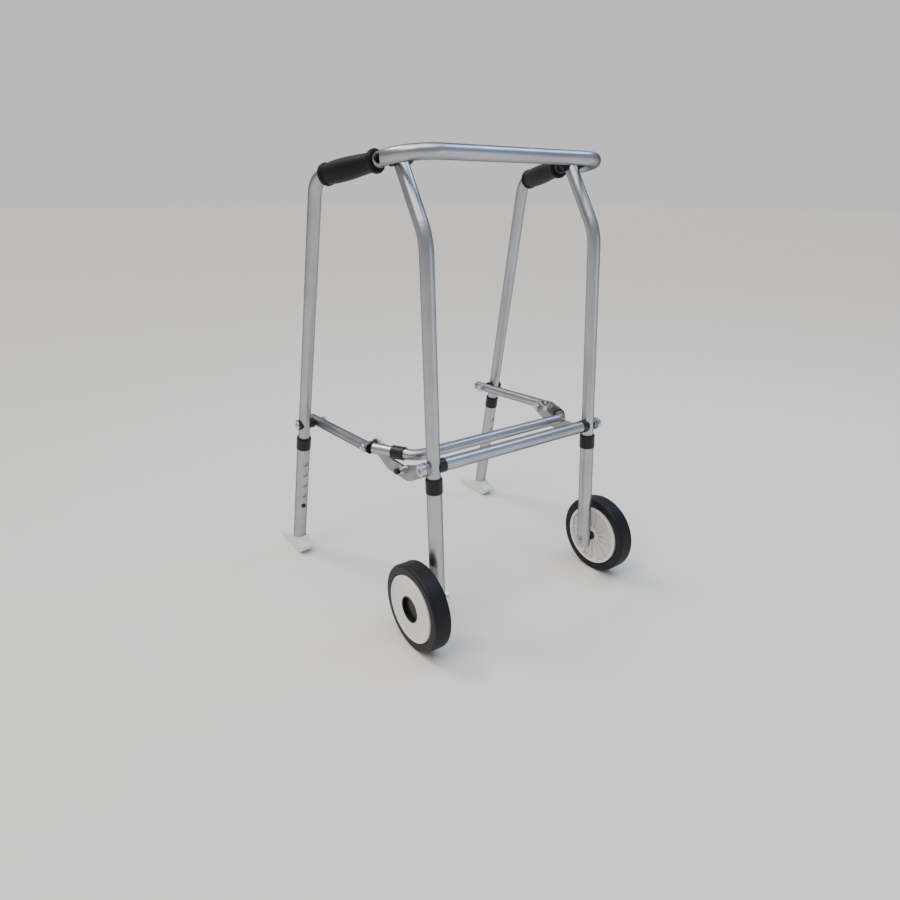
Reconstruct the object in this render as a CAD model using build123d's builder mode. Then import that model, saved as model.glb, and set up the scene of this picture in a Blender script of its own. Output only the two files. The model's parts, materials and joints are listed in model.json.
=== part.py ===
from build123d import *

import os

os.makedirs("parts", exist_ok=True)

# Folding walking frame, standing at its lowest height setting. Millimetres, +Z up, -Y to the front.
# The origin is on the floor under the middle of the frame. The user stands inside, facing -Y,
# so +X is the user's left. Every sided piece is drawn on the left and mirrored in the YZ plane.

# Tubes
UPPER_R = 11.1
LOWER_R = 12.7
BAR_R = 9.5
WALL = 1.5
SLIDE_FIT = 0.08
HOLE_PITCH = 25.4
HOLE_COUNT = 5
BUTTON_R = 4.6
BUTTON_PROUD = 2.5

# Pivots and fasteners
BOLT_R = 4.0
RUNNING_R = 4.06
DRILL_R = 4.1
SIDE_GAP = 0.4
ACROSS = (0, 90, 0)

# Centre lines of the left side
TOP_PIVOT = Vector(172, -107.4, 763)
FRONT_BEND = Vector(172.8, -174.7, 657)
FRONT_FOOT = Vector(178.2, -209.2, 62)
LOWER_PIVOT = Vector(175.9, -194.7, 313)
HANDLE_FRONT = Vector(185, -72.4, 762)
HANDLE_BEND = Vector(223.2, 68.9, 739.9)
REAR_FOOT = Vector(248.9, 214.3, 28)
PLATE_PIVOT = Vector(192.7, -42.4, 307)
BRACE_X = 211.0

# Top rail
RAIL_X = 199.5
RAIL_FRONT_Y = -169.4
RAIL_END_Y = -96.4
RAIL_SLOPE = 0.13
RAIL_BEND = 58

# Wheels
WHEEL_R = 76.2
HUB_R = 58.5
CAP_R = 23.2
HUB_INNER_X = 200.0
HUB_OUTER_X = 236.0
AXLE_Y = -208.4
RIB_COUNT = 16
GROOVE_COUNT = 9
GROOVE_PITCH = 2.7

# Rear glides
GLIDE_FRONT_Y = 174.0
GLIDE_REAR_Y = 284.6
GLIDE_WIDTH = 27.0


def on_line(start, end, z):
    """Return the point at height z on the straight line through two points."""
    return start + (end - start) * ((z - start.Z) / (end.Z - start.Z))


def radial(direction, near):
    """Return the unit direction square to a tube's axis that lies nearest to the given one."""
    return (near - direction * near.dot(direction)).normalized()


def turning_plane(start, direction):
    """Return a plane whose x is the radius and whose y runs along the axis from start."""
    side = radial(direction, Vector(0, 0, 1) if abs(direction.Z) < 0.9 else Vector(1, 0, 0))
    return Plane(origin=start, x_dir=side, z_dir=side.cross(direction))


def write(piece, name):
    """Label one piece and write it."""
    piece.label = name
    export_step(piece, f"parts/{name}.step")


def write_pair(piece, name):
    """Write the left piece, and its mirror image for the right."""
    with BuildPart() as opposite:
        mirror(piece, about=Plane.YZ)
    write(piece, f"{name}_left")
    write(opposite.part, f"{name}_right")


def tube(points, radius, bend):
    """Return a round tube along a filleted line of points."""
    with BuildPart() as piece:
        with BuildLine() as path:
            if bend:
                FilletPolyline(*points, radius=bend)
            else:
                Line(*points)
        with BuildSketch(Plane(origin=path.line @ 0, z_dir=path.line % 0)) as ring:
            Circle(radius)
            Circle(radius - WALL, mode=Mode.SUBTRACT)
        sweep(ring.sketch, path=path.line)
    return piece.part


def rod(centre, x_low, x_high, radius):
    """Return a solid round bar that runs across the frame, coaxial with a pivot."""
    with BuildPart() as piece:
        with Locations(Location((x_low, centre.Y, centre.Z), ACROSS)):
            Cylinder(radius, x_high - x_low, align=(Align.CENTER, Align.CENTER, Align.MIN))
    return piece.part


def hexagon(centre, x_low, x_high, across_flats):
    """Return a hexagonal prism that runs across the frame, coaxial with a pivot."""
    with BuildPart() as piece:
        with BuildSketch(Plane(origin=(x_low, centre.Y, centre.Z), z_dir=(1, 0, 0))):
            RegularPolygon(across_flats / 2, 6, major_radius=False)
        extrude(amount=x_high - x_low)
    return piece.part


def core(centre, direction, radius):
    """Return the solid that a tube takes up around a pivot, for seats that wrap it."""
    with BuildPart() as piece:
        with Locations(Plane(origin=centre, z_dir=direction)):
            Cylinder(radius, 120)
    return piece.part


FRONT_UP = (FRONT_BEND - FRONT_FOOT).normalized()
FRONT_LEAN = (TOP_PIVOT - FRONT_BEND).normalized()
REAR_UP = (HANDLE_BEND - REAR_FOOT).normalized()
HANDLE_BACK = (HANDLE_BEND - HANDLE_FRONT).normalized()
REAR_PIVOT = on_line(REAR_FOOT, HANDLE_BEND, 297)
AXLE = Vector(0, AXLE_Y, WHEEL_R)
FRONT_BUTTON = on_line(FRONT_FOOT, FRONT_BEND, 135)
REAR_BUTTON = on_line(REAR_FOOT, HANDLE_BEND, 113)
FRONT_FACE = radial(FRONT_UP, Vector(0, 1, 0))
REAR_FACE = radial(REAR_UP, Vector(0, -1, 0))

# ---------------------------------------------------------------- top rail and its hinge bolts

RAIL_FRONT_Z = TOP_PIVOT.Z + RAIL_SLOPE * (TOP_PIVOT.Y - RAIL_FRONT_Y)
RAIL_END_Z = TOP_PIVOT.Z - RAIL_SLOPE * (RAIL_END_Y - TOP_PIVOT.Y)

with BuildPart() as u_rail:
    add(
        tube(
            [
                (RAIL_X, RAIL_END_Y, RAIL_END_Z),
                (RAIL_X, RAIL_FRONT_Y, RAIL_FRONT_Z),
                (-RAIL_X, RAIL_FRONT_Y, RAIL_FRONT_Z),
                (-RAIL_X, RAIL_END_Y, RAIL_END_Z),
            ],
            UPPER_R,
            RAIL_BEND,
        )
    )
    # bolt holes in the inner walls, wider access holes in the outer walls
    add(rod(TOP_PIVOT, -RAIL_X, RAIL_X, DRILL_R), mode=Mode.SUBTRACT)
    add(rod(TOP_PIVOT, RAIL_X, RAIL_X + 15, 8), mode=Mode.SUBTRACT)
    add(rod(TOP_PIVOT, -RAIL_X - 15, -RAIL_X, 8), mode=Mode.SUBTRACT)
write(u_rail.part, "u_rail")

NUT_FACE_X = 158.3
HEAD_SEAT_X = RAIL_X - 6.4

with BuildPart() as top_pivot_bolts:
    add(rod(TOP_PIVOT, NUT_FACE_X - 4, HEAD_SEAT_X, BOLT_R))
    add(rod(TOP_PIVOT, HEAD_SEAT_X, HEAD_SEAT_X + 5, 6.9))
    add(hexagon(TOP_PIVOT, HEAD_SEAT_X + 2, HEAD_SEAT_X + 5, 5), mode=Mode.SUBTRACT)
    mirror(about=Plane.YZ)
write(top_pivot_bolts.part, "top_pivot_bolts")

with BuildPart() as top_pivot_nuts:
    add(hexagon(TOP_PIVOT, NUT_FACE_X - 5, NUT_FACE_X, 13))
    with BuildSketch(turning_plane(Vector(NUT_FACE_X - 5, TOP_PIVOT.Y, TOP_PIVOT.Z), Vector(-1, 0, 0))):
        with BuildLine():
            Line((0, -0.5), (5.8, -0.5))
            Line((5.8, -0.5), (5.8, 0.4))
            ThreePointArc((5.8, 0.4), (4.3, 2.8), (1.5, 3.9))
            Line((1.5, 3.9), (0, 3.9))
            Line((0, 3.9), (0, -0.5))
        make_face()
    revolve(axis=Axis(TOP_PIVOT, (-1, 0, 0)))
    add(rod(TOP_PIVOT, NUT_FACE_X - 4, NUT_FACE_X, BOLT_R), mode=Mode.SUBTRACT)
    mirror(about=Plane.YZ)
write(top_pivot_nuts.part, "top_pivot_nuts")

with BuildPart() as top_pivot_saddles:
    add(rod(TOP_PIVOT, NUT_FACE_X, NUT_FACE_X + 8, 9.5))
    add(core(TOP_PIVOT, FRONT_LEAN, UPPER_R), mode=Mode.SUBTRACT)
    add(rod(TOP_PIVOT, NUT_FACE_X, NUT_FACE_X + 8, BOLT_R), mode=Mode.SUBTRACT)
    mirror(about=Plane.YZ)
write(top_pivot_saddles.part, "top_pivot_saddles")

# ---------------------------------------------------------------- front legs, upper tubes

with BuildPart() as front_leg:
    add(tube([FRONT_BUTTON - FRONT_UP * 15, FRONT_BEND, TOP_PIVOT + FRONT_LEAN * 12], UPPER_R, 90))
    add(rod(TOP_PIVOT, 150, 200, DRILL_R), mode=Mode.SUBTRACT)
    add(rod(LOWER_PIVOT, 150, 200, DRILL_R), mode=Mode.SUBTRACT)
    with Locations(Plane(origin=FRONT_BUTTON, z_dir=FRONT_FACE)):
        Cylinder(
            BUTTON_R + 0.07, 20, align=(Align.CENTER, Align.CENTER, Align.MIN), mode=Mode.SUBTRACT
        )
write_pair(front_leg.part, "front_leg")

# ---------------------------------------------------------------- rear legs with their handles

with BuildPart() as rear_leg:
    add(tube([HANDLE_FRONT, HANDLE_BEND, REAR_BUTTON - REAR_UP * 15], UPPER_R, 34))
    add(rod(REAR_PIVOT, 210, 270, DRILL_R), mode=Mode.SUBTRACT)
    with Locations(Plane(origin=REAR_BUTTON, z_dir=REAR_FACE)):
        Cylinder(
            BUTTON_R + 0.07, 20, align=(Align.CENTER, Align.CENTER, Align.MIN), mode=Mode.SUBTRACT
        )
write_pair(rear_leg.part, "rear_leg")

# moulded lug: a flat eye on the top bolt, with a spigot plugged into the handle's open end
LUG_INNER_X = 183.5
LUG_OUTER_X = RAIL_X - UPPER_R - 0.7

with BuildPart() as hinge_lug:
    with BuildSketch(Plane(origin=(LUG_INNER_X, 0, 0), x_dir=(0, 1, 0), z_dir=(1, 0, 0))):
        with Locations((TOP_PIVOT.Y, TOP_PIVOT.Z)):
            Circle(11)
        with Locations(((TOP_PIVOT.Y + HANDLE_FRONT.Y) / 2, HANDLE_FRONT.Z)):
            Rectangle(HANDLE_FRONT.Y - TOP_PIVOT.Y + 2, 16)
    extrude(amount=LUG_OUTER_X - LUG_INNER_X)
    with Locations(Plane(origin=HANDLE_FRONT - HANDLE_BACK, z_dir=HANDLE_BACK)):
        Cylinder(UPPER_R - WALL, 24, align=(Align.CENTER, Align.CENTER, Align.MIN))
    add(rod(TOP_PIVOT, 170, 200, RUNNING_R), mode=Mode.SUBTRACT)
write_pair(hinge_lug.part, "hinge_lug")

# hand grip pushed over the handle tube: a flange at each end and a palm swell nearer the rear one
GRIP_START = HANDLE_FRONT + HANDLE_BACK * 9
GRIP_LENGTH = 110.5
FLANGE_R = 17.6

with BuildPart() as grip:
    with BuildSketch(turning_plane(GRIP_START, HANDLE_BACK)):
        with BuildLine():
            Polyline((14, 5), (15.5, 4.6), (16.8, 3.8), (FLANGE_R, 2), (FLANGE_R, -2), (16.8, -3.8), (15, -4.5))
            Polyline((15, -4.5), (UPPER_R, -4.5), (UPPER_R, GRIP_LENGTH + 4.5), (15, GRIP_LENGTH + 4.5))
            Polyline(
                (15, GRIP_LENGTH + 4.5), (16.8, GRIP_LENGTH + 3.8), (FLANGE_R, GRIP_LENGTH + 2),
                (FLANGE_R, GRIP_LENGTH - 2), (16.8, GRIP_LENGTH - 3.8), (15.6, GRIP_LENGTH - 5),
            )
            Spline(
                (15.6, GRIP_LENGTH - 5), (16.9, GRIP_LENGTH * 0.82), (17.2, GRIP_LENGTH * 0.66),
                (16.2, GRIP_LENGTH * 0.4), (14.4, GRIP_LENGTH * 0.14), (14, 5),
            )
        make_face()
    revolve(axis=Axis(GRIP_START, HANDLE_BACK))
write_pair(grip.part, "grip")

# saddles and bolt that hold the side brace to the rear leg; the bolt stops at the brace's face
BRACE_FACE_X = BRACE_X + BAR_R
INNER_SADDLE_X = BRACE_FACE_X + 0.5
OUTER_SADDLE_X = 252.8

with BuildPart() as rear_pivot_saddles:
    add(rod(REAR_PIVOT, INNER_SADDLE_X, 234, 10))
    add(rod(REAR_PIVOT, 244, OUTER_SADDLE_X, 10))
    add(core(REAR_PIVOT, REAR_UP, UPPER_R), mode=Mode.SUBTRACT)
    add(rod(REAR_PIVOT, 210, 260, BOLT_R), mode=Mode.SUBTRACT)
write_pair(rear_pivot_saddles.part, "rear_pivot_saddles")

with BuildPart() as rear_pivot_bolt:
    add(rod(REAR_PIVOT, INNER_SADDLE_X, OUTER_SADDLE_X, BOLT_R))
    with BuildSketch(turning_plane(Vector(OUTER_SADDLE_X, REAR_PIVOT.Y, REAR_PIVOT.Z), Vector(1, 0, 0))):
        with BuildLine():
            Line((0, 0), (7.5, 0))
            Line((7.5, 0), (7.5, 1.2))
            ThreePointArc((7.5, 1.2), (5.6, 3.4), (2.6, 4.3))
            Line((2.6, 4.3), (0, 4.3))
            Line((0, 4.3), (0, 0))
        make_face()
    revolve(axis=Axis(REAR_PIVOT, (1, 0, 0)))
    add(hexagon(REAR_PIVOT, OUTER_SADDLE_X + 1.8, OUTER_SADDLE_X + 6, 4.4), mode=Mode.SUBTRACT)
write_pair(rear_pivot_bolt.part, "rear_pivot_bolt")

# ---------------------------------------------------------------- telescopic lower tubes

for name, button, foot, up, face, top_z in (
    ("front_leg_extension", FRONT_BUTTON, FRONT_FOOT, FRONT_UP, FRONT_FACE, 290.5),
    ("rear_leg_extension", REAR_BUTTON, REAR_FOOT, REAR_UP, REAR_FACE, 264.2),
):
    top = foot + up * ((top_z - foot.Z) / up.Z)
    with BuildPart() as leg_extension:
        with BuildSketch(Plane(origin=foot, z_dir=up)):
            Circle(LOWER_R)
            Circle(UPPER_R + SLIDE_FIT, mode=Mode.SUBTRACT)
        extrude(amount=(top - foot).length)
        # the button sits in the lowest hole, and the row of empty ones runs up the tube above it
        with Locations(*[Plane(origin=button + up * HOLE_PITCH * i, z_dir=face) for i in range(HOLE_COUNT)]):
            Cylinder(
                BUTTON_R + 0.4, 20, align=(Align.CENTER, Align.CENTER, Align.MIN), mode=Mode.SUBTRACT
            )
        if name.startswith("front"):
            add(rod(AXLE, 150, 210, DRILL_R), mode=Mode.SUBTRACT)
    write_pair(leg_extension.part, name)

    with BuildPart() as collar:
        with BuildSketch(turning_plane(top, up)):
            with BuildLine():
                Polyline(
                    (LOWER_R, -21.5), (13.5, -21.5), (14.2, -20), (14.2, 2.5), (13.2, 4.5),
                    (UPPER_R + SLIDE_FIT, 4.5), (UPPER_R + SLIDE_FIT, 0), (LOWER_R, 0), (LOWER_R, -21.5),
                )
            make_face()
        revolve(axis=Axis(top, up))
    write_pair(collar.part, name.replace("leg_extension", "collar"))

# ---------------------------------------------------------------- snap buttons on their spring clips

for name, button, face, up in (
    ("front_snap_button", FRONT_BUTTON, FRONT_FACE, FRONT_UP),
    ("rear_snap_button", REAR_BUTTON, REAR_FACE, REAR_UP),
):
    with BuildPart() as snap_button:
        with BuildSketch(turning_plane(button, face)):
            with BuildLine():
                Polyline((0, 5.2), (6, 5.2), (6, 6.8), (BUTTON_R, 6.8), (BUTTON_R, LOWER_R + BUTTON_PROUD - 1))
                Line((BUTTON_R, LOWER_R + BUTTON_PROUD - 1), (BUTTON_R - 1, LOWER_R + BUTTON_PROUD))
                Line((BUTTON_R - 1, LOWER_R + BUTTON_PROUD), (0, LOWER_R + BUTTON_PROUD))
                Line((0, LOWER_R + BUTTON_PROUD), (0, 5.2))
            make_face()
        revolve(axis=Axis(button, face))
        # V clip of spring strip, folded at the top, with its back leg towards the far wall
        with BuildSketch(Plane(origin=button, x_dir=face, z_dir=face.cross(up))):
            with BuildLine():
                Polyline(
                    (4.6, -4), (5.4, -4), (5.4, 16), (-0.5, 27), (-4.4, 15), (-4.4, -2), (-3.6, -2),
                    (-3.6, 14.8), (-0.4, 25.2), (4.6, 15.6), (4.6, -4),
                )
            make_face()
        extrude(amount=3.5, both=True)
    write_pair(snap_button.part, name)

# ---------------------------------------------------------------- wheels

WHEEL_PLANE = turning_plane(AXLE, Vector(1, 0, 0))
TYRE_INNER_X = HUB_INNER_X + 2
TYRE_OUTER_X = HUB_OUTER_X - 2
TYRE_MID_X = (TYRE_INNER_X + TYRE_OUTER_X) / 2

with BuildPart() as tyre:
    with BuildSketch(WHEEL_PLANE) as tyre_section:
        with Locations(((HUB_R + WHEEL_R) / 2, TYRE_MID_X)):
            Rectangle(WHEEL_R - HUB_R, TYRE_OUTER_X - TYRE_INNER_X)
        fillet(tyre_section.vertices().group_by(Axis.Z)[-1], 4.5)
        # fine grooves that run round the tread
        with Locations(*[(WHEEL_R, TYRE_MID_X + GROOVE_PITCH * (i - GROOVE_COUNT // 2)) for i in range(GROOVE_COUNT)]):
            Rectangle(1.6, 0.9, mode=Mode.SUBTRACT)
    revolve(axis=Axis(AXLE, (1, 0, 0)))
write_pair(tyre.part, "tyre")

CUP_FLOOR_X = HUB_OUTER_X - 8.5
DISH_X = HUB_INNER_X + 5.5

with BuildPart() as wheel_hub:
    with BuildSketch(WHEEL_PLANE):
        with BuildLine():
            Polyline(
                (BOLT_R + 0.06, HUB_INNER_X), (14, HUB_INNER_X), (15, DISH_X), (53, DISH_X),
                (53.5, HUB_INNER_X), (HUB_R, HUB_INNER_X), (HUB_R, HUB_OUTER_X - 1),
                (HUB_R - 1, HUB_OUTER_X), (55.5, HUB_OUTER_X), (54.5, HUB_OUTER_X - 1),
                (CAP_R, HUB_OUTER_X - 1), (CAP_R, CUP_FLOOR_X), (8.5, CUP_FLOOR_X),
                (8.5, CUP_FLOOR_X - 6), (BOLT_R + 0.06, CUP_FLOOR_X - 6), (BOLT_R + 0.06, HUB_INNER_X),
            )
        make_face()
        # closed hollow between the dished inner face and the flat outer one
        with BuildLine():
            Polyline(
                (28, DISH_X + 3), (53.5, DISH_X + 3), (53.5, HUB_OUTER_X - 5), (28, HUB_OUTER_X - 5), close=True
            )
        make_face(mode=Mode.SUBTRACT)
    revolve(axis=Axis(AXLE, (1, 0, 0)))
    # low ribs in the dish, from the boss to the rim
    with BuildSketch(Plane(origin=(HUB_INNER_X + 1.5, AXLE.Y, AXLE.Z), z_dir=(1, 0, 0))):
        with PolarLocations(34, RIB_COUNT):
            Rectangle(40, 2.4)
    extrude(amount=DISH_X - HUB_INNER_X)
    add(rod(AXLE, CUP_FLOOR_X, HUB_OUTER_X, CAP_R), mode=Mode.SUBTRACT)
    add(rod(AXLE, HUB_INNER_X, HUB_OUTER_X, BOLT_R + 0.06), mode=Mode.SUBTRACT)
write_pair(wheel_hub.part, "wheel_hub")

with BuildPart() as hub_cap:
    with BuildSketch(WHEEL_PLANE):
        with BuildLine():
            Polyline(
                (0, CUP_FLOOR_X + 0.1), (CAP_R - 0.1, CUP_FLOOR_X + 0.1), (CAP_R - 0.1, HUB_OUTER_X - 0.4),
                (CAP_R - 1.6, HUB_OUTER_X - 0.4), (CAP_R - 2.2, CUP_FLOOR_X + 1.8), (0, CUP_FLOOR_X + 1.8),
                (0, CUP_FLOOR_X + 0.1),
            )
        make_face()
    revolve(axis=Axis(AXLE, (1, 0, 0)))
write_pair(hub_cap.part, "hub_cap")

# axle bolt with its head under the cap, and a hexagon nut on the leg's inner side
with BuildPart() as axle_fasteners:
    add(hexagon(AXLE, 158.4, 165, 13))
    add(rod(AXLE, 150, 170, BOLT_R + 0.02), mode=Mode.SUBTRACT)
    add(rod(AXLE, 157, CUP_FLOOR_X - 5.6, BOLT_R))
    add(rod(AXLE, CUP_FLOOR_X - 5.6, CUP_FLOOR_X - 1, 7))
write_pair(axle_fasteners.part, "axle_fasteners")

with BuildPart() as axle_spacer:
    add(rod(AXLE, 190.9, HUB_INNER_X - SIDE_GAP, 9))
    add(rod(AXLE, 190.9, HUB_INNER_X - SIDE_GAP, BOLT_R), mode=Mode.SUBTRACT)
write_pair(axle_spacer.part, "axle_spacer")

# ---------------------------------------------------------------- rear glides

with BuildPart() as ski_glide:
    # boat-shaped runner, both ends turned up, with a seat for the tube's end; drawn in side view
    with BuildSketch(Plane(origin=(REAR_FOOT.X, 0, 0), x_dir=(0, 1, 0), z_dir=(1, 0, 0))):
        with BuildLine():
            Polyline(
                (GLIDE_FRONT_Y + 1, 19), (GLIDE_FRONT_Y, 16), (GLIDE_FRONT_Y + 4, 10),
                (GLIDE_FRONT_Y + 10, 5), (GLIDE_FRONT_Y + 18, 1.6), (GLIDE_FRONT_Y + 28, 0),
                (GLIDE_REAR_Y - 22, 0), (GLIDE_REAR_Y - 10, 2), (GLIDE_REAR_Y - 3, 6), (GLIDE_REAR_Y, 10),
                (GLIDE_REAR_Y - 2, 12), (REAR_FOOT.Y + 40, 14), (REAR_FOOT.Y + 20, 24),
                (REAR_FOOT.Y + 15, 28), (REAR_FOOT.Y - 14, 31), (REAR_FOOT.Y - 20, 26), close=True,
            )
        make_face()
    extrude(amount=GLIDE_WIDTH / 2, both=True)
    fillet(ski_glide.edges().filter_by(Axis.Y).sort_by(Axis.Z)[:2], 3)
    with Locations(Plane(origin=REAR_FOOT, z_dir=REAR_UP)):
        Cylinder(LOWER_R, 60, align=(Align.CENTER, Align.CENTER, Align.MIN), mode=Mode.SUBTRACT)
        Cylinder(UPPER_R, 24, align=(Align.CENTER, Align.CENTER, Align.MIN))
write_pair(ski_glide.part, "ski_glide")

# ---------------------------------------------------------------- lower cross tube and its ends

CROSS_END_X = 156.0
PLATE_INNER_X = 190.7
PLATE_OUTER_X = 194.7

with BuildPart() as lower_cross_tube:
    add(rod(LOWER_PIVOT, -CROSS_END_X, CROSS_END_X, UPPER_R))
    add(rod(LOWER_PIVOT, -CROSS_END_X, CROSS_END_X, UPPER_R - WALL), mode=Mode.SUBTRACT)
write(lower_cross_tube.part, "lower_cross_tube")

with BuildPart() as cross_tube_saddles:
    add(rod(LOWER_PIVOT, CROSS_END_X, 170, 12))
    add(rod(LOWER_PIVOT, CROSS_END_X - 16, CROSS_END_X, UPPER_R - WALL))
    add(core(LOWER_PIVOT, FRONT_UP, UPPER_R), mode=Mode.SUBTRACT)
    add(rod(LOWER_PIVOT, CROSS_END_X - 10, 175, BOLT_R), mode=Mode.SUBTRACT)
    mirror(about=Plane.YZ)
write(cross_tube_saddles.part, "cross_tube_saddles")

HEAD_X = PLATE_OUTER_X + SIDE_GAP

with BuildPart() as lower_pivot_bolts:
    add(rod(LOWER_PIVOT, CROSS_END_X - 10, HEAD_X, BOLT_R))
    add(rod(LOWER_PIVOT, HEAD_X, HEAD_X + 7.5, 10.5))
    chamfer(lower_pivot_bolts.faces().sort_by(Axis.X)[-1].edges(), 1)
    add(hexagon(LOWER_PIVOT, HEAD_X + 3, HEAD_X + 8, 8), mode=Mode.SUBTRACT)
    mirror(about=Plane.YZ)
write(lower_pivot_bolts.part, "lower_pivot_bolts")

# the right washer is thinner, because the lock's catch plate lies against it
CATCH_X = 188.8

with BuildPart() as lower_pivot_washers:
    add(rod(LOWER_PIVOT, 187.1, PLATE_INNER_X - SIDE_GAP, 10))
    add(rod(LOWER_PIVOT, 1 - CATCH_X, -187.1, 10))
    add(rod(LOWER_PIVOT, -200, 200, BOLT_R), mode=Mode.SUBTRACT)
write(lower_pivot_washers.part, "lower_pivot_washers")

# ---------------------------------------------------------------- spreader: two link plates and the lift bar

PLATE_LOW_Z = 286.6
BAR_CROSS = Vector(0, -134.4, 311)
BAR_CORNER = Vector(170, -134.4, 311)
BAR_END = Vector(208.2, -61, 309.9)
SLEEVE_MID = Vector(188, -105.4, 311)
SCREW = Vector(0, -67.4, 309.5)
BAR_BACK = (BAR_END - BAR_CORNER).normalized()
LOCK = Vector(0, -140.4, 295.5)
LOCK_PIN_R = 2.5

with BuildPart() as spreader_bar:
    add(
        tube(
            [
                BAR_END, BAR_CORNER, Vector(-BAR_CORNER.X, BAR_CORNER.Y, BAR_CORNER.Z),
                Vector(-BAR_END.X, BAR_END.Y, BAR_END.Z),
            ],
            BAR_R,
            26,
        )
    )
    add(rod(SCREW, -201, 201, 2.6), mode=Mode.SUBTRACT)
write(spreader_bar.part, "spreader_bar")

with BuildPart() as bar_sleeves:
    with Locations(Plane(origin=BAR_CORNER + BAR_BACK * 33, z_dir=BAR_BACK)):
        Cylinder(11.8, 23)
        Cylinder(BAR_R, 23, mode=Mode.SUBTRACT)
    mirror(about=Plane.YZ)
write(bar_sleeves.part, "bar_sleeves")

with BuildPart() as link_plate:
    with BuildSketch(Plane(origin=(PLATE_INNER_X, 0, 0), x_dir=(0, 1, 0), z_dir=(1, 0, 0))):
        with BuildLine() as plate_line:
            FilletPolyline(
                (LOWER_PIVOT.Y, LOWER_PIVOT.Z), (-146, PLATE_LOW_Z), (-84, PLATE_LOW_Z),
                (PLATE_PIVOT.Y, PLATE_PIVOT.Z), radius=30,
            )
        SlotArc(plate_line.wire(), 23)
        with Locations((SCREW.Y, SCREW.Z)):
            Circle(7.5)
        with Locations((LOWER_PIVOT.Y, LOWER_PIVOT.Z), (PLATE_PIVOT.Y, PLATE_PIVOT.Z)):
            Circle(RUNNING_R, mode=Mode.SUBTRACT)
        with Locations((SCREW.Y, SCREW.Z)):
            Circle(2.6, mode=Mode.SUBTRACT)
    extrude(amount=PLATE_OUTER_X - PLATE_INNER_X)
    # shallow hollow where the bar lies against the plate
    add(core(BAR_END, BAR_BACK, BAR_R + 0.1), mode=Mode.SUBTRACT)
write(link_plate.part, "link_plate_left")

with BuildPart() as right_plate:
    mirror(link_plate.part, about=Plane.YZ)
    add(rod(LOCK, -200, -180, 4.5), mode=Mode.SUBTRACT)
write(right_plate.part, "link_plate_right")

with BuildPart() as bar_screws:
    add(rod(SCREW, PLATE_INNER_X, 200, 2.6))
    add(rod(SCREW, PLATE_INNER_X - 3, PLATE_INNER_X, 5.2))
    mirror(about=Plane.YZ)
write(bar_screws.part, "bar_screws")

# ---------------------------------------------------------------- pull-out lock on the right plate

with BuildPart() as lock_catch:
    with BuildSketch(Plane(origin=(-PLATE_INNER_X + SIDE_GAP, 0, 0), x_dir=(0, 1, 0), z_dir=(1, 0, 0))):
        with BuildLine() as catch_line:
            Line((LOWER_PIVOT.Y, LOWER_PIVOT.Z), (LOCK.Y, LOCK.Z))
        SlotArc(catch_line.wire(), 12)
        with Locations((LOWER_PIVOT.Y, LOWER_PIVOT.Z)):
            Circle(10)
            Circle(BOLT_R, mode=Mode.SUBTRACT)
        with Locations((LOCK.Y, LOCK.Z)):
            Circle(LOCK_PIN_R + 0.4, mode=Mode.SUBTRACT)
    extrude(amount=1.5)
write(lock_catch.part, "lock_catch")

with BuildPart() as lock_housing:
    add(rod(LOCK, -207.5, -PLATE_INNER_X, 4.5))
    add(rod(LOCK, -202, -PLATE_OUTER_X, 6.5))
    add(rod(LOCK, -210, -180, LOCK_PIN_R + 0.06), mode=Mode.SUBTRACT)
write(lock_housing.part, "lock_housing")

with BuildPart() as lock_pin:
    add(rod(LOCK, -208, -CATCH_X + 0.4, LOCK_PIN_R))
    add(rod(LOCK, -215, -208, 5.2))
    chamfer(lock_pin.faces().sort_by(Axis.X)[0].edges(), 1.2)
write(lock_pin.part, "lock_pin")

# ---------------------------------------------------------------- side braces

BRACE_PIVOT = Vector(BRACE_X, PLATE_PIVOT.Y, PLATE_PIVOT.Z)
BRACE_REAR = Vector(BRACE_X, REAR_PIVOT.Y, REAR_PIVOT.Z)
BRACE_BACK = (BRACE_REAR - BRACE_PIVOT).normalized()
BRACE_FRONT_END = BRACE_PIVOT - BRACE_BACK * 10
STUD_X = PLATE_OUTER_X + SIDE_GAP

with BuildPart() as side_brace:
    add(tube([BRACE_FRONT_END, BRACE_REAR + BRACE_BACK * 27], BAR_R, 0))
    add(rod(BRACE_PIVOT, 190, 230, DRILL_R), mode=Mode.SUBTRACT)
    add(rod(BRACE_REAR, 190, 230, DRILL_R), mode=Mode.SUBTRACT)
write_pair(side_brace.part, "side_brace")

with BuildPart() as brace_end_cap:
    with Locations(Plane(origin=BRACE_FRONT_END, z_dir=-BRACE_BACK)):
        Cylinder(BAR_R, 2.4, align=(Align.CENTER, Align.CENTER, Align.MIN))
    chamfer(brace_end_cap.faces().sort_by(Axis.Y)[0].edges(), 0.8)
    with Locations(Plane(origin=BRACE_FRONT_END, z_dir=BRACE_BACK)):
        Cylinder(BAR_R - WALL, 5.4, align=(Align.CENTER, Align.CENTER, Align.MIN))
write_pair(brace_end_cap.part, "brace_end_cap")

with BuildPart() as brace_saddle:
    add(rod(BRACE_PIVOT, STUD_X, 207, 8.8))
    add(core(BRACE_PIVOT, BRACE_BACK, BAR_R), mode=Mode.SUBTRACT)
    add(rod(BRACE_PIVOT, 180, 230, BOLT_R), mode=Mode.SUBTRACT)
write_pair(brace_saddle.part, "brace_saddle")

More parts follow.
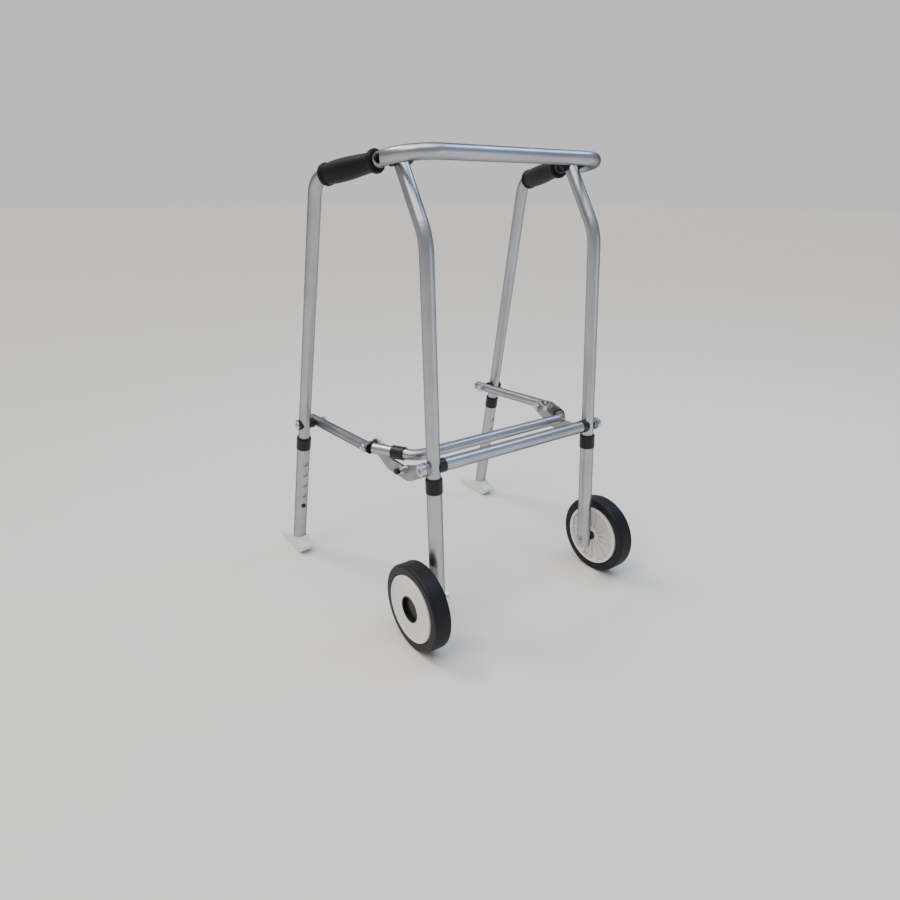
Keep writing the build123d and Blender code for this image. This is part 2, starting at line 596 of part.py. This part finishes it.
# bolt and nut on the plate, and the inner half of the bolt on the rear leg with its nut
with BuildPart() as brace_fasteners:
    add(hexagon(BRACE_PIVOT, 184.6, PLATE_INNER_X - SIDE_GAP, 13))
    add(hexagon(BRACE_REAR, STUD_X, BRACE_X - BAR_R - 0.1, 13))
    add(rod(BRACE_PIVOT, 180, 195, BOLT_R + 0.02), mode=Mode.SUBTRACT)
    add(rod(BRACE_REAR, 190, 205, BOLT_R + 0.02), mode=Mode.SUBTRACT)
    add(rod(BRACE_PIVOT, 183.6, BRACE_FACE_X + 0.1, BOLT_R))
    add(rod(BRACE_REAR, STUD_X - 1, BRACE_FACE_X - 0.1, BOLT_R))
    with BuildSketch(turning_plane(Vector(BRACE_FACE_X + 0.1, BRACE_PIVOT.Y, BRACE_PIVOT.Z), Vector(1, 0, 0))):
        with BuildLine():
            Line((0, 0), (7.2, 0))
            ThreePointArc((7.2, 0), (5.2, 2.3), (2.4, 3.2))
            Line((2.4, 3.2), (0, 3.2))
            Line((0, 3.2), (0, 0))
        make_face()
    revolve(axis=Axis(BRACE_PIVOT, (1, 0, 0)))
write_pair(brace_fasteners.part, "brace_fasteners")
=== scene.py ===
import json
import math

import bmesh
import bpy
from mathutils import Matrix, Vector

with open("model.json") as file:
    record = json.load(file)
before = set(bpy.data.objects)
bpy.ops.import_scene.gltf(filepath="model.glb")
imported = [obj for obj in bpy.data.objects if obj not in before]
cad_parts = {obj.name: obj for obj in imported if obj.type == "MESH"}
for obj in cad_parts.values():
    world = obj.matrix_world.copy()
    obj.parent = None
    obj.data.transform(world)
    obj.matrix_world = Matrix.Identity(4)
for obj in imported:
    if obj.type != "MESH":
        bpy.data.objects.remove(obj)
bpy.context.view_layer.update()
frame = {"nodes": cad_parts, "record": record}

# Folding walking frame: the CAD nodes carry all the shapes. This script gives them their surfaces, and
# sets the studio and the camera.

SIDES = ("left", "right")
NODES = frame["nodes"]
SLOTS = {part["node"]: part["material_slot"] for part in frame["record"]["subparts"]}


# ------------------------------------------------------------------ node material helpers

# a mesh's pointiness on a flat face, and where an outside edge counts as fully rubbed
FLAT_POINTINESS = 0.5
EDGE_POINTINESS = 0.56
# the middle range of a noise texture's values, which holds nearly all of them
NOISE_LOW = 0.3
NOISE_HIGH = 0.7
# how far a texture is squeezed across and along a tube
DRAWING_LINES = (900, 900, 14)
HANDLING_MARKS = (1, 1, 0.35)
# painted shade: a dark edge tint that darkens satin aluminium where it is seen at a glancing angle, standing
# in for the dark room reflected there
PAINTED_EDGE_SHADE = (0.12, 0.125, 0.14, 1)
WHITE = (1, 1, 1)


def new_material(name, color, roughness, metallic=0.0):
    """A Principled material with its constant values set on the shader's own sockets."""
    material = bpy.data.materials.new(name)
    material.use_nodes = True
    shader = material.node_tree.nodes["Principled BSDF"]
    shader.inputs["Base Color"].default_value = (*color, 1)
    shader.inputs["Roughness"].default_value = roughness
    shader.inputs["Metallic"].default_value = metallic
    return material, material.node_tree, shader


def object_coordinates(tree, scale=(1, 1, 1), rotation=(0, 0, 0)):
    """The piece's own coordinates in metres, turned by the given angles and then scaled."""
    coordinates = tree.nodes.new("ShaderNodeTexCoord")
    turn = tree.nodes.new("ShaderNodeMapping")
    turn.inputs["Rotation"].default_value = rotation
    stretch = tree.nodes.new("ShaderNodeMapping")
    stretch.inputs["Scale"].default_value = scale
    tree.links.new(coordinates.outputs["Object"], turn.inputs["Vector"])
    tree.links.new(turn.outputs["Vector"], stretch.inputs["Vector"])
    return stretch.outputs["Vector"]


def noise(tree, vector, scale, detail=4.0, rough=0.55):
    """A noise texture's value, from 0 to 1."""
    texture = tree.nodes.new("ShaderNodeTexNoise")
    texture.inputs["Scale"].default_value = scale
    texture.inputs["Detail"].default_value = detail
    texture.inputs["Roughness"].default_value = rough
    tree.links.new(vector, texture.inputs["Vector"])
    return texture.outputs["Fac"]


def spread(tree, value, low, high, from_low=NOISE_LOW, from_high=NOISE_HIGH):
    """Map from_low..from_high, by default a texture's middle range, on to low..high."""
    node = tree.nodes.new("ShaderNodeMapRange")
    node.inputs["From Min"].default_value = from_low
    node.inputs["From Max"].default_value = from_high
    node.inputs["To Min"].default_value = low
    node.inputs["To Max"].default_value = high
    tree.links.new(value, node.inputs["Value"])
    return node.outputs["Result"]


def two_tone(tree, factor, dark, light):
    """Blend from the dark colour to the light one over a texture's middle range."""
    ramp = tree.nodes.new("ShaderNodeValToRGB")
    ramp.color_ramp.elements[0].position = NOISE_LOW
    ramp.color_ramp.elements[0].color = (*dark, 1)
    ramp.color_ramp.elements[1].position = NOISE_HIGH
    ramp.color_ramp.elements[1].color = (*light, 1)
    tree.links.new(factor, ramp.inputs["Fac"])
    return ramp.outputs["Color"]


def multiply(tree, first, second):
    """One colour times another."""
    node = tree.nodes.new("ShaderNodeMix")
    node.data_type = "RGBA"
    node.blend_type = "MULTIPLY"
    node.inputs["Factor"].default_value = 1.0
    tree.links.new(first, node.inputs["A"])
    tree.links.new(second, node.inputs["B"])
    return node.outputs["Result"]


def bump(tree, shader, height, strength, distance):
    """Raise the surface by the texture, at most by the given distance in metres."""
    node = tree.nodes.new("ShaderNodeBump")
    node.inputs["Strength"].default_value = strength
    node.inputs["Distance"].default_value = distance
    tree.links.new(height, node.inputs["Height"])
    tree.links.new(node.outputs["Normal"], shader.inputs["Normal"])


def edge_wear(tree):
    """A mask that is high on outside edges, from the mesh's own pointiness."""
    geometry = tree.nodes.new("ShaderNodeNewGeometry")
    return spread(tree, geometry.outputs["Pointiness"], 0.0, 1.0, FLAT_POINTINESS, EDGE_POINTINESS)


def aluminium(name, rotation):
    """Satin anodised tube: fine drawing lines along it, soft cloudy sheen, a few handling marks and painted
    shade on its glancing edges.
    """
    material, tree, shader = new_material(name, (0.44, 0.45, 0.475), roughness=0.3, metallic=1.0)
    lines = noise(tree, object_coordinates(tree, DRAWING_LINES, rotation), scale=1.0, detail=3.0)
    clouds = noise(tree, object_coordinates(tree), scale=14.0, detail=3.0)
    marked = object_coordinates(tree, HANDLING_MARKS, rotation)
    marks = noise(tree, marked, scale=160.0, detail=6.0, rough=0.7)
    tone = two_tone(tree, clouds, (0.4, 0.412, 0.435), (0.5, 0.51, 0.53))
    grain = two_tone(tree, lines, (0.9, 0.9, 0.9), WHITE)
    tree.links.new(multiply(tree, tone, grain), shader.inputs["Base Color"])
    tree.links.new(spread(tree, marks, 0.26, 0.38), shader.inputs["Roughness"])
    bump(tree, shader, lines, strength=0.12, distance=0.00006)
    shader.inputs["Anisotropic"].default_value = 0.35
    # painted shade: the dark specular tint darkens the tube's sides where they are seen at a glancing angle
    shader.inputs["Specular Tint"].default_value = PAINTED_EDGE_SHADE
    return material


def moulded(name, dark, light, roughness, grain_scale, depth, wear=None, shine=0.5):
    """Moulded plastic or rubber: fine grain, a little colour drift and lighter rubbed edges."""
    material, tree, shader = new_material(name, dark, roughness)
    shader.inputs["Specular IOR Level"].default_value = shine
    grain = noise(tree, object_coordinates(tree), grain_scale, detail=5.0, rough=0.6)
    drift = noise(tree, object_coordinates(tree), scale=22.0)
    tone = two_tone(tree, drift, dark, light)
    if wear:
        mix = tree.nodes.new("ShaderNodeMix")
        mix.data_type = "RGBA"
        tree.links.new(edge_wear(tree), mix.inputs["Factor"])
        tree.links.new(tone, mix.inputs["A"])
        mix.inputs["B"].default_value = (*wear, 1)
        tone = mix.outputs["Result"]
    tree.links.new(tone, shader.inputs["Base Color"])
    tree.links.new(spread(tree, grain, roughness - 0.07, roughness + 0.1), shader.inputs["Roughness"])
    bump(tree, shader, grain, strength=0.35, distance=depth)
    return material


def steel(name, dark, light, roughness, squeeze):
    """Plated or brushed steel: fine lines, squeezed by so much in X, Y and Z, and a slightly uneven tone."""
    material, tree, shader = new_material(name, light, roughness, metallic=1.0)
    lines = noise(tree, object_coordinates(tree, squeeze), scale=1.0, rough=0.65)
    blotches = noise(tree, object_coordinates(tree), scale=60.0)
    tone = two_tone(tree, blotches, dark, light)
    grain = two_tone(tree, lines, (0.8, 0.8, 0.8), WHITE)
    tree.links.new(multiply(tree, tone, grain), shader.inputs["Base Color"])
    tree.links.new(spread(tree, lines, roughness - 0.08, roughness + 0.12), shader.inputs["Roughness"])
    bump(tree, shader, lines, strength=0.2, distance=0.00004)
    return material


# ------------------------------------------------------------------ materials

# turns that bring each run of tube on to Z, so that the drawing lines follow it
FRONT_TURN = (math.radians(-3.3), 0, 0)
REAR_TURN = (math.radians(-11.5), 0, 0)
ACROSS_TURN = (0, math.radians(90), 0)
BRACE_TURN = (math.radians(90), 0, 0)

METAL_LEGS = aluminium("satin aluminium, front legs", FRONT_TURN)
METAL_REAR = aluminium("satin aluminium, rear legs", REAR_TURN)
METAL_ACROSS = aluminium("satin aluminium, cross tubes", ACROSS_TURN)
METAL_BRACE = aluminium("satin aluminium, braces", BRACE_TURN)
BLACK = moulded(
    "black moulded plastic", dark=(0.0028, 0.0028, 0.003), light=(0.005, 0.005, 0.0053),
    roughness=0.34, grain_scale=900, depth=0.00005, wear=(0.014, 0.014, 0.015), shine=0.3,
)
GRIP = moulded(
    "black grip rubber", dark=(0.0025, 0.0025, 0.0026), light=(0.0045, 0.0045, 0.0046),
    roughness=0.5, grain_scale=1500, depth=0.00008, shine=0.22,
)
TYRE = moulded(
    "black tyre rubber", dark=(0.0035, 0.0035, 0.0048), light=(0.0065, 0.0065, 0.009),
    roughness=0.46, grain_scale=1100, depth=0.00009, wear=(0.018, 0.018, 0.021), shine=0.26,
)
CREAM = moulded(
    "cream nylon", dark=(0.7, 0.67, 0.595), light=(0.78, 0.755, 0.69),
    roughness=0.42, grain_scale=700, depth=0.00005, wear=(0.84, 0.82, 0.77),
)
PALE = moulded(
    "pale nylon", dark=(0.69, 0.69, 0.67), light=(0.76, 0.76, 0.745),
    roughness=0.42, grain_scale=700, depth=0.00005,
)
ZINC = steel(
    "zinc plated steel", dark=(0.46, 0.49, 0.54), light=(0.66, 0.69, 0.74),
    roughness=0.22, squeeze=(500, 500, 500),
)
PLATE = steel(
    "brushed plate", dark=(0.3, 0.29, 0.27), light=(0.42, 0.41, 0.385),
    roughness=0.4, squeeze=(400, 18, 900),
)

SLOT_MATERIALS = {
    "satin_aluminium": METAL_LEGS,
    "black_plastic": BLACK,
    "grip_rubber": GRIP,
    "tyre_rubber": TYRE,
    "cream_nylon": CREAM,
    "pale_nylon": PALE,
    "zinc_steel": ZINC,
    "brushed_plate": PLATE,
}
NODE_MATERIALS = {
    "u_rail": METAL_ACROSS,
    "lower_cross_tube": METAL_ACROSS,
    "spreader_bar": METAL_ACROSS,
}
for side in SIDES:
    NODE_MATERIALS[f"rear_leg_{side}"] = METAL_REAR
    NODE_MATERIALS[f"rear_leg_extension_{side}"] = METAL_REAR
    NODE_MATERIALS[f"side_brace_{side}"] = METAL_BRACE

for name, node in NODES.items():
    material = NODE_MATERIALS.get(name, SLOT_MATERIALS[SLOTS[name]])
    if not node.material_slots:
        node.data.materials.append(material)
    for slot in node.material_slots:
        slot.material = material

# ------------------------------------------------------------------ studio

FLOOR_SIZE = 80.0
FLOOR_COLOUR = (0.77, 0.75, 0.71)

floor_mesh = bpy.data.meshes.new("studio_floor")
floor_builder = bmesh.new()
bmesh.ops.create_grid(floor_builder, x_segments=2, y_segments=2, size=FLOOR_SIZE / 2)
floor_builder.to_mesh(floor_mesh)
floor_builder.free()
floor = bpy.data.objects.new("studio_floor", floor_mesh)
bpy.context.collection.objects.link(floor)
floor.data.materials.append(new_material("studio floor", FLOOR_COLOUR, roughness=0.8)[0])

# the room: a pale wall behind the walking frame, darker walls all round otherwise, and a cool ceiling
BACKDROP = (0.735, 0.735, 0.725)
SIDE_WALLS = (0.42, 0.425, 0.435)
CEILING = (0.6, 0.62, 0.67)
BACKDROP_WAY = (0.586, 0.81, 0.0)
UPWARD = (0, 0, 1)
FRAME_MIDDLE = Vector((0, 0, 0.4))
WARM = (1.0, 0.965, 0.91)

world = bpy.data.worlds.new("studio")
bpy.context.scene.world = world
world.use_nodes = True
sky = world.node_tree
way = sky.nodes.new("ShaderNodeTexCoord").outputs["Generated"]


def sky_blend(direction, low, high, first, second):
    """Go from the first colour to the second as the direction looked along turns to the given one.

    low and high are the cosines where the change starts and ends. The first colour may be a socket.
    """
    facing = sky.nodes.new("ShaderNodeVectorMath")
    facing.operation = "DOT_PRODUCT"
    facing.inputs[1].default_value = direction
    sky.links.new(way, facing.inputs[0])
    mix = sky.nodes.new("ShaderNodeMix")
    mix.data_type = "RGBA"
    sky.links.new(spread(sky, facing.outputs["Value"], 0.0, 1.0, low, high), mix.inputs["Factor"])
    if isinstance(first, tuple):
        mix.inputs["A"].default_value = (*first, 1)
    else:
        sky.links.new(first, mix.inputs["A"])
    mix.inputs["B"].default_value = (*second, 1)
    return mix.outputs["Result"]


walls = sky_blend(BACKDROP_WAY, low=0.5, high=0.88, first=SIDE_WALLS, second=BACKDROP)
room = sky_blend(UPWARD, low=0.45, high=0.95, first=walls, second=CEILING)
sky.links.new(room, sky.nodes["Background"].inputs["Color"])


def sun_light(name, source, softness, power, color):
    """A soft distant light, as many degrees wide as its softness, that shines from the given direction."""
    data = bpy.data.lights.new(name, "SUN")
    data.angle = math.radians(softness)
    data.energy = power
    data.color = color
    light = bpy.data.objects.new(name, data)
    light.rotation_euler = Vector(source).to_track_quat("Z", "Y").to_euler()
    bpy.context.collection.objects.link(light)


def area_light(name, place, size, power, color):
    """A soft box of the given width and height that points at the middle of the frame."""
    data = bpy.data.lights.new(name, "AREA")
    data.shape = "RECTANGLE"
    data.size, data.size_y = size
    data.energy = power
    data.color = color
    light = bpy.data.objects.new(name, data)
    light.location = place
    light.rotation_euler = (FRAME_MIDDLE - Vector(place)).to_track_quat("-Z", "Y").to_euler()
    bpy.context.collection.objects.link(light)


sun_light("room_back_left", (-0.35, 0.6, 1.0), softness=20, power=1.25, color=(1.0, 0.96, 0.9))
sun_light("room_left", (-0.9, -0.2, 1.1), softness=30, power=0.75, color=WARM)
area_light("overhead", (-0.4, -0.6, 3.2), size=(2.2, 2.2), power=42, color=WARM)
area_light("right_cool_high", (1.7, -0.4, 2.7), size=(1.0, 1.0), power=24, color=(0.3, 0.55, 1.0))
area_light("right_cool_low", (0.95, -1.95, 0.62), size=(0.6, 1.2), power=3.6, color=(0.35, 0.58, 1.0))

# ------------------------------------------------------------------ camera

AZIMUTH = math.radians(-35.87)
PITCH = math.radians(21.66)
ROLL = math.radians(0.28)
CAMERA_PLACE = (-0.70451, -0.97008, 0.71525)
LENS = 25.72

camera_data = bpy.data.cameras.new("camera")
camera_data.lens = LENS
camera_data.sensor_width = 36
camera_data.clip_start = 0.05
camera_data.clip_end = 60
camera_data.dof.use_dof = False
camera = bpy.data.objects.new("camera", camera_data)
back = Vector((
    math.sin(AZIMUTH) * math.cos(PITCH), -math.cos(AZIMUTH) * math.cos(PITCH), math.sin(PITCH),
))
level = Vector((math.cos(AZIMUTH), math.sin(AZIMUTH), 0))
lift = back.cross(level)
right = level * math.cos(ROLL) + lift * math.sin(ROLL)
up = lift * math.cos(ROLL) - level * math.sin(ROLL)
turn = Matrix((right, up, back)).transposed().to_4x4()
camera.matrix_world = Matrix.Translation(CAMERA_PLACE) @ turn
bpy.context.collection.objects.link(camera)
bpy.context.scene.camera = camera
